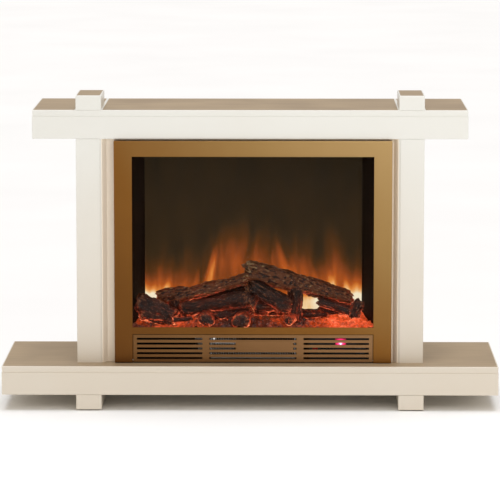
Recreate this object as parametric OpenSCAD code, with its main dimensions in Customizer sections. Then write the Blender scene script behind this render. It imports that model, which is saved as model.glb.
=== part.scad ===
// Electric fireplace suite: a flat-pack surround of lacquered boards with crossed beams and posts,
// and an inset electric fire with a log set, a flame screen and a fan heater behind a drop-down grille.
// Frame: X to the right, Y to the back (the wall), Z up.
// The origin is on the floor, under the middle of the hearth.

/* [Window and fascia] */
// Width of the opening in the fascia that shows the flames
window_w = 584; // [480:1:720]
// Height of that opening
window_h = 416; // [340:1:500]
// Width of the fascia's side stiles
stile_w = 43.5; // [40:0.5:60]
// Height of the fascia's top rail
top_rail_h = 38; // [30:0.5:55]
// Height of the rail between the window and the grille
sill_h = 17; // [14:0.5:30]
// Height of the grille opening below that rail
grille_h = 70; // [66:0.5:90]
// How far the fascia stands proud of the post faces
fascia_proud = 8; // [4:0.5:14]
// Thickness of the fascia's front plate
plate_t = 3; // [2:0.25:4]
// Thickness of the fascia's folded returns
return_t = 2; // [1.5:0.25:3]
// Air gap between the fascia and the underside of the mantel
fascia_top_gap = 4; // [2:0.5:8]
// Gap between the fascia and the hearth
fascia_floor_gap = 1; // [0.5:0.5:2]

/* [Surround] */
// How far the fire sits to the right of the surround's centre
insert_x = 7; // [0:0.5:7]
// Width of each post
post_w = 61.5; // [50:0.5:80]
// Recessed margin that shows between the fascia and each post's reveal
margin_w = 12; // [8:0.5:25]
// Width of the splayed reveal beside each post
reveal_w = 11; // [8:0.5:20]
// Depth from the post faces to the recessed infill panel
infill_recess = 18; // [14:1:45]
// How far the mantel runs past the posts at each end
mantel_overhang = 105; // [60:1:150]
// How far the hearth runs past the posts at each end
hearth_overhang = 180; // [110:1:240]
// Depth of the hearth, from its front to the wall
hearth_d = 360; // [330:5:430]
// How far the posts stand back from the front of the hearth
post_setback = 55; // [35:1:70]
// Thickness of the hearth beam
hearth_h = 70; // [58:1:90]
// Thickness of the mantel beam
mantel_h = 70; // [58:1:90]
// Height of the feet, glides included
foot_h = 38; // [25:1:60]
// Height of the post ends that stand on the mantel
cap_h = 35; // [20:1:60]
// How far back along the mantel they reach
cap_d = 150; // [80:5:250]
// Thickness of the lacquered boards
board_t = 16; // [12:0.5:19]
// Thickness of the posts' side walls
post_wall_t = 12; // [9:0.5:16]
// Thickness of the beams' bottom boards
base_t = 12; // [9:0.5:16]
// Radius on the boards' outer edges
edge_r = 2; // [1:0.25:3]
// Thickness of the laminate let into the top faces
inlay_t = 1; // [0.8:0.1:2]
// White rim left round each laminate
inlay_rim = 3; // [2:0.5:6]

/* [Firebox] */
// Depth of the steel chassis, from behind the glass to its back
chassis_d = 260; // [235:1:290]
// Thickness of the chassis sheet
sheet_t = 1.5; // [1:0.25:2]
// Distance from the window's edge to the chassis wall
chassis_margin = 13; // [11:0.5:16]
// Thickness of the glass
glass_t = 4; // [3:0.5:5]
// Distance from the glass to the flame screen
screen_gap = 109; // [100:1:120]
// How far the side cheeks lean in at the flame screen
cheek_lean = 33; // [20:1:45]

/* [Heater and controls] */
// Outer radius of the blower's impeller
impeller_r = 26; // [20:0.5:27]
// Number of blades on the impeller
impeller_blades = 18; // [12:1:24]
// Length of the impeller
impeller_l = 190; // [150:5:200]
// Radius of the blower's shaft
blower_shaft_r = 3; // [2.5:0.25:4]
// Radius of the flicker spindle's shaft
spindle_shaft_r = 3; // [2.5:0.25:4]
// Radius of the grille flap's hinge pins
flap_pin_r = 1.5; // [1.2:0.1:2]
// Number of slots, one above another, in the grille
slot_rows = 5; // [4:1:6]
// Height of each grille slot
slot_h = 5.2; // [4:0.1:6]
// Radius of the control knob
knob_r = 14; // [11:0.5:16]
// Radius of the cord hole in the rear gland
gland_bore_r = 4; // [3.5:0.25:5]

/* [Hidden] */

eps = 1;              // how far a cutting shape runs past what it cuts
run_gap = 0.05;       // radial clearance of a shaft or pin that turns in its hole
arc_steps = 4;        // straight steps in each rounded edge

fascia_w = window_w + 2 * stile_w;
fascia_h = top_rail_h + window_h + sill_h + grille_h;
opening_h = fascia_floor_gap + fascia_h + fascia_top_gap;

infill_x = fascia_w / 2 + margin_w + reveal_w;   // half the width between the posts
post_x = infill_x + post_w;                      // half the width across the posts
mantel_x = post_x + mantel_overhang;
hearth_x = post_x + hearth_overhang;

front_y = -hearth_d / 2;
wall_y = hearth_d / 2;
post_y = front_y + post_setback;
fascia_y = post_y - fascia_proud;
infill_y = post_y + infill_recess;

hearth_z = foot_h + hearth_h;                    // top of the hearth
mantel_z0 = hearth_z + opening_h;                // underside of the mantel
mantel_z = mantel_z0 + mantel_h;                 // top of the mantel
cap_z = mantel_z + cap_h;
cap_back_y = post_y + cap_d;

fascia_z = hearth_z + fascia_floor_gap;          // bottom of the fascia
sill_z = fascia_z + grille_h;                    // underside of the sill rail
window_z = sill_z + sill_h;                      // bottom of the window
window_z1 = window_z + window_h;
fascia_z1 = window_z1 + top_rail_h;

hearth_lo = [-hearth_x, front_y, foot_h];
hearth_hi = [hearth_x, wall_y, hearth_z];
mantel_lo = [-mantel_x, post_y, mantel_z0];
mantel_hi = [mantel_x, wall_y, mantel_z];
post_mid_x = infill_x + post_w / 2;

plate_y = fascia_y + plate_t;                    // back of the fascia's front plate
gasket_t = 2;
glass_lap = 8;                                   // how far the glass runs behind the fascia
glass_y = plate_y + gasket_t;
clip_t = 2;
chassis_y = glass_y + glass_t + clip_t + 2;      // front edge of the chassis
chassis_y1 = chassis_y + chassis_d;
chassis_x = window_w / 2 + chassis_margin;
chassis_z1 = window_z1 + 20;
inner_x = chassis_x - sheet_t;                   // inside of the chassis walls
inner_z1 = chassis_z1 - sheet_t;
base_z = hearth_z + sheet_t;                     // top of the chassis base
rear_y = chassis_y1 - sheet_t;                   // inside of the rear cover
screw_flange = 12;
flange_x1 = fascia_w / 2 - return_t - 2;         // outer edge of the chassis's front flange
flange_x0 = (chassis_x + flange_x1) / 2;         // where that flange steps forward
screw_r = 1.75;
screw_head_r = 3;
screw_head_t = 2.2;

tray_z = window_z - 6;                           // underside of the ember tray
bed_z = tray_z + sheet_t;                        // top of the ember tray
screen_y = glass_y + glass_t + screen_gap;
screen_t = 4;
cheek_x = window_w / 2 + 8;                      // half width between the cheeks at the glass
screen_x = cheek_x - cheek_lean - 1;             // half width of the flame screen

// ---- helpers ----

// Points on an arc of radius r round [cx, cy]
function arc_pts(cx, cy, r, a0, a1, n = arc_steps) =
    [for (i = [0:n]) let (a = a0 + (a1 - a0) * i / n) [cx + r * cos(a), cy + r * sin(a)]];

// A rectangle with round corners
function rounded_rect(x0, y0, x1, y1, r) = concat(
    arc_pts(x1 - r, y1 - r, r, 0, 90),
    arc_pts(x0 + r, y1 - r, r, 90, 180),
    arc_pts(x0 + r, y0 + r, r, 180, 270),
    arc_pts(x1 - r, y0 + r, r, 270, 360));

// Extrudes an outline drawn in Y and Z along X
module along_x(x0, x1)
    translate([x0, 0, 0]) rotate([90, 0, 90]) linear_extrude(x1 - x0) children();

// Extrudes an outline drawn in X and Z along Y
module along_y(y0, y1)
    translate([0, y1, 0]) rotate([90, 0, 0]) linear_extrude(y1 - y0) children();

// Extrudes an outline drawn in X and Y along Z
module along_z(z0, z1)
    translate([0, 0, z0]) linear_extrude(z1 - z0) children();

// A plain block between two corners
module block(lo, hi)
    translate(lo) cube(hi - lo);

// A block with its edges rounded
module rounded_box(lo, hi, r) {
    intersection() {
        along_x(lo[0], hi[0]) polygon(rounded_rect(lo[1], lo[2], hi[1], hi[2], r));
        along_y(lo[1], hi[1]) polygon(rounded_rect(lo[0], lo[2], hi[0], hi[2], r));
        along_z(lo[2], hi[2]) polygon(rounded_rect(lo[0], lo[1], hi[0], hi[1], r));
    }
}

// A cylinder along X, Y or Z that starts at p
module rod_x(p, r, l) translate(p) rotate([0, 90, 0]) cylinder(r = r, h = l, $fn = 48);
module rod_y(p, r, l) translate(p) rotate([-90, 0, 0]) cylinder(r = r, h = l, $fn = 48);
module rod_z(p, r, l) translate(p) cylinder(r = r, h = l, $fn = 48);

// A tapered rod from p to q
module taper(p, q, r0, r1) {
    d = q - p;
    l = norm(d);
    translate(p)
        rotate([0, acos(d[2] / l), atan2(d[1], d[0])])
            cylinder(r1 = r0, r2 = r1, h = l, $fn = 40);
}

module both_sides() {
    children();
    mirror([1, 0, 0]) children();
}

// The fire's own middle
module insert()
    translate([insert_x, 0, 0]) children();

// ---- hollow beams: the hearth and the mantel ----

top_lean = 1.5;       // how far a top board's edges lean in towards its underside

// Outline of a top board from u0 to u1 with its top at v1, whose edges lean in by lean0 and lean1
function leaning_slab(u0, u1, v1, lean0, lean1) =
    let (slope0 = lean0 / board_t, slope1 = lean1 / board_t)
    [[u0 - slope0 * eps, v1 + eps], [u0 + lean0, v1 - board_t], [u1 - lean1, v1 - board_t],
        [u1 + slope1 * eps, v1 + eps]];

// Top board, which lies on the front board and the ends and shows its edge above them
module beam_top(lo, hi)
    intersection() {
        rounded_box(lo, hi, edge_r);
        along_x(lo[0] - eps, hi[0] + eps) polygon(leaning_slab(lo[1], hi[1], hi[2], top_lean, 0));
        along_y(lo[1] - eps, hi[1] + eps) polygon(leaning_slab(lo[0], hi[0], hi[2], top_lean, top_lean));
    }

// Front board, mitred to the ends
module beam_front(lo, hi) {
    t = board_t;
    y0 = lo[1] - eps;
    intersection() {
        rounded_box(lo, hi, edge_r);
        along_z(lo[2] - eps, hi[2] - t)
            polygon([[lo[0] - eps, y0], [hi[0] + eps, y0], [hi[0] - t, lo[1] + t], [lo[0] + t, lo[1] + t]]);
    }
}

// Left end board, mitred to the front
module beam_end(lo, hi) {
    t = board_t;
    x0 = lo[0] - eps;
    intersection() {
        rounded_box(lo, hi, edge_r);
        along_z(lo[2] - eps, hi[2] - t)
            polygon([[x0, lo[1] - eps], [lo[0] + t, lo[1] + t], [lo[0] + t, hi[1] + eps],
                [x0, hi[1] + eps]]);
    }
}

// Bottom board, between the front board and the ends
module beam_base(lo, hi)
    block([lo[0] + board_t, lo[1] + board_t, lo[2]], [hi[0] - board_t, hi[1], lo[2] + base_t]);

// Back rail, and ribs at the given places
module beam_ribs(lo, hi, places) {
    z0 = lo[2] + base_t;
    z1 = hi[2] - board_t;
    block([lo[0] + board_t, hi[1] - board_t, z0], [hi[0] - board_t, hi[1], z1]);
    for (x = places)
        block([x - board_t / 2, lo[1] + board_t, z0], [x + board_t / 2, hi[1] - board_t, z1]);
}

// Laminate sheet let into a top face, from x0 to x1
module inlay(x0, x1, y0, y1, z)
    block([x0 + inlay_rim, y0 + inlay_rim, z - inlay_t], [x1 - inlay_rim, y1 - inlay_rim, z]);

// The pocket for that sheet
module inlay_pocket(x0, x1, y0, y1, z)
    block([x0 + inlay_rim, y0 + inlay_rim, z - inlay_t], [x1 - inlay_rim, y1 - inlay_rim, z + eps]);

lacquer = "#eeebe3";
laminate = "#a78d68";

module hearth_top() color(lacquer) difference() {
    beam_top(hearth_lo, hearth_hi);
    inlay_pocket(-hearth_x, hearth_x, front_y, wall_y, hearth_z);
}
module hearth_front() color(lacquer) beam_front(hearth_lo, hearth_hi);
module hearth_end_left() color(lacquer) beam_end(hearth_lo, hearth_hi);
module hearth_end_right() color(lacquer) mirror([1, 0, 0]) beam_end(hearth_lo, hearth_hi);
module hearth_base() color(lacquer) beam_base(hearth_lo, hearth_hi);
module hearth_ribs() color("#c9b48f")
    beam_ribs(hearth_lo, hearth_hi, [for (i = [-2:2]) i * post_mid_x / 2]);
module hearth_inlay() color(laminate) inlay(-hearth_x, hearth_x, front_y, wall_y, hearth_z);

// The mantel's laminate is in three long parts, because the post ends stand between them,
// and two short ones behind the post ends
mantel_bays = [[-mantel_x, -post_x, post_y], [-infill_x, infill_x, post_y], [post_x, mantel_x, post_y],
    [-post_x, -infill_x, cap_back_y], [infill_x, post_x, cap_back_y]];
module mantel_top() color(lacquer) difference() {
    beam_top(mantel_lo, mantel_hi);
    for (b = mantel_bays) inlay_pocket(b[0], b[1], b[2], wall_y, mantel_z);
}
module mantel_front() color(lacquer) beam_front(mantel_lo, mantel_hi);
module mantel_end_left() color(lacquer) beam_end(mantel_lo, mantel_hi);
module mantel_end_right() color(lacquer) mirror([1, 0, 0]) beam_end(mantel_lo, mantel_hi);
module mantel_base() color(lacquer) beam_base(mantel_lo, mantel_hi);
module mantel_ribs() color("#c9b48f") beam_ribs(mantel_lo, mantel_hi, [-post_mid_x, 0, post_mid_x]);
module mantel_inlays() color(laminate) {
    for (b = mantel_bays) inlay(b[0], b[1], b[2], wall_y, mantel_z);
    both_sides() inlay(infill_x, post_x, post_y, cap_back_y, cap_z);
}

// ---- feet, posts and post ends ----

glide_t = 2;
glide_r = 12;

// Runner under the hearth, in line with the post and flush with the hearth's front
module foot() {
    lo = [infill_x, front_y, glide_t];
    intersection() {
        rounded_box(lo, [post_x, wall_y, foot_h + 2 * edge_r], edge_r);
        block(lo - [eps, eps, eps], [post_x + eps, wall_y + eps, foot_h]);
    }
}
module foot_left() color(lacquer) mirror([1, 0, 0]) foot();
module foot_right() color(lacquer) foot();
module foot_glides() color("#5b5048") both_sides()
    for (y = [front_y + 40, 0, wall_y - 40]) rod_z([post_mid_x, y, 0], glide_r, glide_t);

bevel_w = 5;          // bevel on the inner front edge of each post
bevel_d = 3;

// Folded post: a front and two side walls, open at the back
module post() {
    outline = concat(
        [[infill_x, post_y + bevel_d], [infill_x + bevel_w, post_y]],
        arc_pts(post_x - edge_r, post_y + edge_r, edge_r, 270, 360),
        [[post_x, wall_y], [post_x - post_wall_t, wall_y], [post_x - post_wall_t, post_y + board_t],
         [infill_x + post_wall_t, post_y + board_t], [infill_x + post_wall_t, wall_y], [infill_x, wall_y]]);
    along_z(hearth_z, mantel_z0) polygon(outline);
}
module post_left() color(lacquer) mirror([1, 0, 0]) post();
module post_right() color(lacquer) post();

// Splayed strip from the post's bevel back to the infill panel
module reveal() {
    tip = 1.5;
    x0 = infill_x - reveal_w;
    y0 = post_y + bevel_d;
    outline = [[infill_x, y0], [infill_x - tip, y0], [x0, infill_y - 1], [x0, infill_y],
        [infill_x, infill_y]];
    along_z(hearth_z, mantel_z0) polygon(outline);
}
module reveal_strips() color(lacquer) both_sides() reveal();

// Panel between the posts that the chassis passes through, open at its foot
infill_gap = 1;
module infill_panel() color("#f3e8d6") difference() {
    block([-infill_x, infill_y, hearth_z], [infill_x, infill_y + board_t, mantel_z0]);
    insert() block([-chassis_x - infill_gap, infill_y - eps, hearth_z - eps],
        [chassis_x + infill_gap, infill_y + board_t + eps, chassis_z1 + infill_gap]);
}

// Block that stands on the mantel above each post
module cap_block()
    intersection() {
        rounded_box([infill_x, post_y, mantel_z - 2 * edge_r], [post_x, cap_back_y, cap_z], edge_r);
        block([infill_x - eps, post_y - eps, mantel_z], [post_x + eps, cap_back_y + eps, cap_z + eps]);
    }
module post_cap() difference() {
    cap_block();
    inlay_pocket(infill_x, post_x, post_y, cap_back_y, cap_z);
}
module post_cap_left() color(lacquer) mirror([1, 0, 0]) post_cap();
module post_cap_right() color(lacquer) post_cap();

// Steel angles under the back of the mantel, each with one hole for a wall screw
bracket_x = 200;
bracket_w = 40;
bracket_t = 2;
bracket_leg = 44;
bracket_hole_r = 2.75;
bracket_hole_z = mantel_z0 - 24;
module wall_brackets() color("#b8bcc0") both_sides() difference() {
    x0 = bracket_x - bracket_w / 2;
    corner = [x0 + bracket_w, wall_y, mantel_z0];
    union() {
        block([x0, wall_y - bracket_leg, mantel_z0 - bracket_t], corner);
        block([x0, wall_y - bracket_t, mantel_z0 - bracket_leg], corner);
    }
    rod_y([bracket_x, wall_y - bracket_t - eps, bracket_hole_z], bracket_hole_r, bracket_t + 2 * eps);
}

// ---- fascia and glass ----

flap_gap = 1.5;                                  // gap round the grille flap
flap_axis = [fascia_y + 6, fascia_z + 5.5];        // Y and Z of the flap's hinge
flap_front = fascia_y + 1.5;
flap_back = flap_front + 8;
flap_x = window_w / 2 - flap_gap;
lug_r = 3.5;
pin_head_r = 2.5;
flange_y = fascia_y + 33;                        // back edge of the grille opening's flanges

module fascia_frame() insert() color("#a98452") {
    x = fascia_w / 2;
    win_x = window_w / 2;
    difference() {
        union() {
            difference() {
                rounded_box([-x, fascia_y, fascia_z], [x, infill_y + edge_r, fascia_z1], 1.5);
                block([-x + return_t, plate_y, fascia_z - eps],
                    [x - return_t, infill_y + edge_r + eps, fascia_z1 - return_t]);
                block([-x - eps, infill_y, fascia_z - eps],
                    [x + eps, infill_y + edge_r + eps, fascia_z1 + eps]);
            }
            both_sides()
                block([win_x, fascia_y + 1, base_z], [win_x + return_t, flange_y, sill_z + return_t]);
            block([-win_x, fascia_y + 1, sill_z], [win_x, flange_y, sill_z + return_t]);
        }
        block([-win_x, fascia_y - eps, window_z], [win_x, plate_y + eps, window_z1]);
        block([-win_x, fascia_y - eps, fascia_z - eps], [win_x, flange_y + eps, sill_z]);
        both_sides() rod_x([win_x - eps, flap_axis[0], flap_axis[1]], flap_pin_r, return_t + 2 * eps);
        case_screw_shanks();
    }
}

// Rubber strip between the fascia and the glass
glass_x = window_w / 2 + glass_lap;
glass_z = [window_z - glass_lap, window_z1 + glass_lap];
module glass_gasket() insert() color("#2a2826") difference() {
    block([-glass_x, plate_y, glass_z[0]], [glass_x, glass_y, glass_z[1]]);
    block([-window_w / 2 - 2, fascia_y, window_z - 2], [window_w / 2 + 2, glass_y + eps, window_z1 + 2]);
}
module glass_pane() insert() color([0.5, 0.45, 0.4, 0.3])
    block([-glass_x, glass_y, glass_z[0]], [glass_x, glass_y + glass_t, glass_z[1]]);

// Bent clips that hold the glass to the fascia, up each side
clip_w = 14;
module glass_clips() insert() color("#b8bcc0") both_sides()
    for (z = [window_z + 30, window_z + window_h / 2, window_z1 - 30]) {
        x0 = glass_x;
        y1 = glass_y + glass_t;
        along_z(z - clip_w / 2, z + clip_w / 2)
            polygon([[x0 - 5, y1], [x0, y1], [x0, plate_y], [x0 + 12, plate_y], [x0 + 12, plate_y + clip_t],
                [x0 + clip_t, plate_y + clip_t], [x0 + clip_t, y1 + clip_t], [x0 - 5, y1 + clip_t]]);
    }

// ---- steel chassis ----

// Stepped flange on a side wall's front edge, which reaches round the glass to the back of the fascia
module front_flange()
    along_z(base_z, chassis_z1)
        polygon([[inner_x, chassis_y], [flange_x0 - sheet_t, chassis_y], [flange_x0 - sheet_t, plate_y],
            [flange_x1, plate_y], [flange_x1, plate_y + sheet_t], [flange_x0, plate_y + sheet_t],
            [flange_x0, chassis_y + sheet_t], [inner_x, chassis_y + sheet_t]]);

// Top and sides in one folded sheet, with a flange at the back for the cover's screws
module chassis_wrap() insert() color("#2b2927") difference() {
    union() {
        difference() {
            block([-chassis_x, chassis_y, hearth_z], [chassis_x, rear_y, chassis_z1]);
            block([-inner_x, chassis_y - eps, hearth_z - eps], [inner_x, rear_y - sheet_t, inner_z1]);
            block([-inner_x + screw_flange, chassis_y - eps, hearth_z - eps],
                [inner_x - screw_flange, chassis_y1 + eps, inner_z1 - screw_flange]);
        }
        both_sides() front_flange();
    }
    case_screw_shanks();
}
module chassis_base() insert() color("#4a4a4a")
    block([-inner_x, chassis_y, hearth_z], [inner_x, rear_y - sheet_t, base_z]);

cover_screw_x = inner_x - screw_flange / 2;
cover_screw_z = [hearth_z + 40, (hearth_z + chassis_z1) / 2, inner_z1 - screw_flange / 2];
fascia_screw_x = (flange_x0 + flange_x1) / 2;
fascia_screw_z = [window_z + 10, window_z + window_h / 2 + 40, window_z1];
fascia_screw_y = fascia_y + 1;                   // tip of the fascia's screws, in blind holes

// Shanks of the screws, six in the rear cover and six in the fascia, which also cut their holes
module case_screw_shanks() both_sides() {
    for (z = cover_screw_z) rod_y([cover_screw_x, rear_y - sheet_t, z], screw_r, 2 * sheet_t);
    for (z = fascia_screw_z)
        rod_y([fascia_screw_x, fascia_screw_y, z], screw_r, plate_y + sheet_t - fascia_screw_y);
}
module case_screws() insert() color("#2a2a2a") {
    case_screw_shanks();
    both_sides() {
        for (z = cover_screw_z) rod_y([cover_screw_x, chassis_y1, z], screw_head_r, screw_head_t);
        for (z = fascia_screw_z) rod_y([fascia_screw_x, plate_y + sheet_t, z], screw_head_r, screw_head_t);
    }
}

// Rear cover with louvred vents, the gland's hole and its screws' holes
gland_x = chassis_x - 55;
gland_z = hearth_z + 32;
gland_neck_r = gland_bore_r + 3;
gland_flange_r = gland_bore_r + 6;
gland_flange_t = 3;
gland_lip_t = 6;
// Snap-in bush that the supply cord comes out of
module cord_gland() insert() color("#1b1b1b") difference() {
    union() {
        rod_y([gland_x, chassis_y1, gland_z], gland_flange_r, gland_flange_t);
        rod_y([gland_x, rear_y, gland_z], gland_neck_r, sheet_t);
        rod_y([gland_x, rear_y - gland_lip_t, gland_z], gland_neck_r + 1, gland_lip_t);
    }
    y0 = rear_y - gland_lip_t - eps;
    rod_y([gland_x, y0, gland_z], gland_bore_r, chassis_y1 + gland_flange_t + eps - y0);
}
vent_w = 70;
vent_h = 4;
vent_pitch = 10;
vent_rows = 6;
module vent_bank(x, z0)
    for (i = [0:vent_rows - 1])
        block([x - vent_w / 2, rear_y - eps, z0 + i * vent_pitch],
            [x + vent_w / 2, chassis_y1 + eps, z0 + i * vent_pitch + vent_h]);
module rear_cover() insert() color("#3a3836") difference() {
    block([-chassis_x, rear_y, hearth_z], [chassis_x, chassis_y1, chassis_z1]);
    for (i = [-1:1]) vent_bank(i * 1.5 * vent_w, inner_z1 - 100);
    for (i = [-1:0]) vent_bank(i * 1.5 * vent_w, hearth_z + 12);
    rod_y([gland_x, rear_y - eps, gland_z], gland_neck_r, sheet_t + 2 * eps);
    case_screw_shanks();
}

// Side cheek that leans in from the glass to the flame screen
module cheek() {
    dx = cheek_lean;
    y0 = chassis_y;
    along_z(bed_z, inner_z1)
        polygon([[cheek_x, y0], [cheek_x + sheet_t, y0], [cheek_x - dx + sheet_t, screen_y + screen_t],
            [cheek_x - dx, screen_y + screen_t]]);
}
module cheek_left() insert() color("#1c1916") mirror([1, 0, 0]) cheek();
module cheek_right() insert() color("#1c1916") cheek();

// Floor between the fire and the heater, open under the ember bed
light_x = cheek_x - 60;
light_y = [chassis_y + 18, screen_y - 14];
module ember_tray() insert() color("#2b2927") difference() {
    block([-inner_x, chassis_y, tray_z], [inner_x, rear_y - sheet_t, bed_z]);
    block([-light_x, light_y[0], tray_z - eps], [light_x, light_y[1], bed_z + eps]);
}

// ---- log set ----

bed_front_y = chassis_y + 3;
bed_back_y = screen_y - 2;
bed_front_x = cheek_x - 4;
bed_back_x = cheek_x - cheek_lean - 3;
bed_plan = [[-bed_front_x, bed_front_y], [bed_front_x, bed_front_y], [bed_back_x, bed_back_y],
    [-bed_back_x, bed_back_y]];
bank_z = [bed_z + 10, bed_z + 30];               // top of the coals at the glass and at the screen

// The space over the bed between two slopes, each given by its heights at the front and at the back
module over_bed(low, high) intersection() {
    along_z(bed_z, inner_z1) polygon(bed_plan);
    along_x(-bed_front_x, bed_front_x)
        polygon([[bed_front_y, low[0]], [bed_back_y, low[1]], [bed_back_y, high[1]],
            [bed_front_y, high[0]]]);
}
module ember_bed() insert() color("#8a3a20") over_bed([bed_z, bed_z], bank_z);

// A log's place across the bed is given in parts of the bed's half width,
// because the set is moulded to fill the bed
function on_bed(u, y, z) = [u * bed_back_x, bed_front_y + y, bed_z + z];

module back_left_rod() taper(on_bed(-0.856, 67, 62.5), on_bed(-0.076, 45, 110.5), 20, 16);
module top_right_rod() taper(on_bed(-0.03, 35, 139.5), on_bed(0.894, 61, 62.5), 23, 21);
module log_back_left() insert() color("#4a3527") back_left_rod();
module log_top_right() insert() color("#4a3527") top_right_rod();

// Cuts the undersides to the slope of the coals that they rest on
module seated() intersection() {
    union() children();
    over_bed(bank_z, [inner_z1, inner_z1]);
}

// Short logs, some with one end to the glass, and the stumps that hold up the long ones
module logs_front() insert() color("#3a2a20") seated() difference() {
    union() {
        taper(on_bed(-0.72, 83, 41.5), on_bed(-0.09, 77, 84.5), 14, 14);
        taper(on_bed(-0.644, 55, 37.5), on_bed(-0.068, 23, 66.5), 15, 17);
        taper(on_bed(0.045, 37, 98.5), on_bed(0.288, 25, 51.5), 18, 17);
        taper(on_bed(0.04, 57, 30.5), on_bed(0.36, 67, 34.5), 16, 16);
        taper(on_bed(0.398, 51, 5), on_bed(0.398, 51, 110), 14.5, 14.5);
        taper(on_bed(-0.72, 63, 5), on_bed(-0.72, 63, 70), 15, 15);
        taper(on_bed(-0.424, 3, 17.5), on_bed(-0.41, 37, 22), 19, 18);
        taper(on_bed(-0.11, 3, 15.5), on_bed(-0.10, 37, 22), 19, 18);
        taper(on_bed(0.34, 5, 20), on_bed(0.38, 37, 20), 11.5, 11.5);
        taper(on_bed(-1.023, 20, 58.5), on_bed(-0.75, 25, 20.5), 19, 19);
    }
    for (lift = [0, 12, 24, 36]) translate([0, 0, lift]) {
        back_left_rod();
        top_right_rod();
    }
}
module twigs() insert() color("#5a2c1c") seated() {
    taper(on_bed(-0.68, 8, 12), on_bed(-0.56, 7, 19.5), 6, 5);
    taper(on_bed(0.636, 33, 46.5), on_bed(1.045, 29, 12.5), 8, 9);
    taper(on_bed(0.92, 24, 34), on_bed(1.01, 24, 62.5), 10, 11.5);
}

// ---- flame effect ----

module flame_screen() insert() color([0.35, 0.25, 0.15, 0.6])
    block([-screen_x, screen_y, bed_z], [screen_x, screen_y + screen_t, inner_z1]);

// Thin sheet with flame-shaped slots, between the spindle and the screen
mask_y = screen_y + 15;
mask_t = 1.2;
mask_h = 230;
mask_slots = 7;
mask_pitch = 2 * screen_x / (mask_slots + 1);
function flame_outline(w, h) =
    [for (a = [0:18:360]) [w / 2 * sin(a) * (1 - cos(a)) / 1.3 + 6 * cos(a), h / 2 * (1 + cos(a))]];
module flame_mask() insert() color("#9a9a9a") difference() {
    block([-screen_x, mask_y, bed_z], [screen_x, mask_y + mask_t, bed_z + mask_h]);
    along_y(mask_y - eps, mask_y + mask_t + eps)
        for (i = [1:mask_slots])
            translate([-screen_x + i * mask_pitch, bed_z + 12])
                polygon(flame_outline(mask_pitch * 0.7, mask_h - 60 + 40 * (i % 2)));
}

spindle_y = mask_y + 28;
spindle_z = bed_z + 30;
blade_r = 18;
blade_pitch = 22;
blade_count = floor((2 * screen_x - 30) / blade_pitch);
spindle_x0 = -screen_x + 2;
spindle_x1 = screen_x + 4;
motor_plate_t = 2;

// Shaft with small bright paddles that flicker the light on to the screen
module flicker_spindle() insert() color("#c8c8c8") {
    union() {
        rod_x([spindle_x0 - 6, spindle_y, spindle_z], spindle_shaft_r, spindle_x1 - spindle_x0 + 12);
        for (i = [0:blade_count - 1])
            translate([spindle_x0 + 14 + i * blade_pitch, spindle_y, spindle_z])
                rotate([i * 68, 0, 0])
                    translate([0, -blade_r, -0.4]) cube([blade_pitch * 0.8, 2 * blade_r, 0.8]);
    }
}

// Geared motor on a plate at the right, and a plain bearing plate at the left
spindle_motor_r = 20;
spindle_motor_l = 16;
module spindle_motor() insert() color("#8f8a80") difference() {
    union() {
        block([spindle_x1, spindle_y - 24, bed_z],
            [spindle_x1 + motor_plate_t, spindle_y + 24, spindle_z + 24]);
        rod_x([spindle_x1 + motor_plate_t, spindle_y, spindle_z], spindle_motor_r, spindle_motor_l);
        block([spindle_x0 - motor_plate_t - 2, spindle_y - 12, bed_z],
            [spindle_x0 - 2, spindle_y + 12, spindle_z + 12]);
    }
    rod_x([spindle_x0 - 20, spindle_y, spindle_z], spindle_shaft_r + run_gap, spindle_x1 - spindle_x0 + 28);
}

led_size = [5, 5, 1.6];
board_pcb_t = 1.6;
led_pitch = 30;

// A strip of board with a row of lamps on its upper face
module led_strip(x, y0, y1, z) {
    n = floor((2 * x - 20) / led_pitch);
    block([-x, y0, z], [x, y1, z + board_pcb_t]);
    for (i = [0:n])
        translate([(i - n / 2) * led_pitch - led_size[0] / 2, (y0 + y1 - led_size[1]) / 2, z + board_pcb_t])
            cube(led_size);
}
module flame_led_board() insert() color("#2f5a3a") union()
    led_strip(screen_x - 12, spindle_y - 8, spindle_y + 8, bed_z);

// The ember lamps hang below the tray on four pillars
ember_board_z = tray_z - 14;
module ember_led_board() insert() color("#2f5a3a") union() {
    led_strip(light_x - 4, light_y[0] + 22, light_y[0] + 46, ember_board_z);
    for (x = [-light_x - 2, light_x + 2])
        block([x - 10, light_y[0] + 30, ember_board_z], [x + 10, light_y[0] + 38, tray_z]);
}

// ---- fan heater ----

blower_y = chassis_y + 150;
blower_z = base_z + impeller_r + 12;
scroll_r = impeller_r + 5;
scroll_t = 2;
blower_x = impeller_l / 2 + 6;                   // half the inside length of the housing
plenum_y = chassis_y + 48;
plenum_z = [base_z + 4, ember_board_z - 4];

// Scroll and outlet duct in one moulding, open at the front and at the back of the scroll
module blower_housing() insert() color("#3d3d3f") difference() {
    union() {
        rod_x([-blower_x - scroll_t, blower_y, blower_z], scroll_r + scroll_t, 2 * (blower_x + scroll_t));
        block([-blower_x - scroll_t, plenum_y, plenum_z[0]], [blower_x + scroll_t, blower_y, plenum_z[1]]);
        both_sides()
            block([blower_x - 16, plenum_y + 6, base_z], [blower_x - 4, blower_y - 10, plenum_z[0] + 1]);
    }
    rod_x([-blower_x, blower_y, blower_z], scroll_r, 2 * blower_x);
    block([-blower_x, plenum_y - eps, plenum_z[0] + scroll_t],
        [blower_x, blower_y - scroll_r / 2, plenum_z[1] - scroll_t]);
    block([-blower_x, blower_y + 4, blower_z - scroll_r * 0.5],
        [blower_x, blower_y + scroll_r + 2 * scroll_t, blower_z + scroll_r * 0.8]);
    rod_x([-blower_x - scroll_t - eps, blower_y, blower_z], blower_shaft_r + run_gap,
        2 * (blower_x + scroll_t + eps));
}

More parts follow.
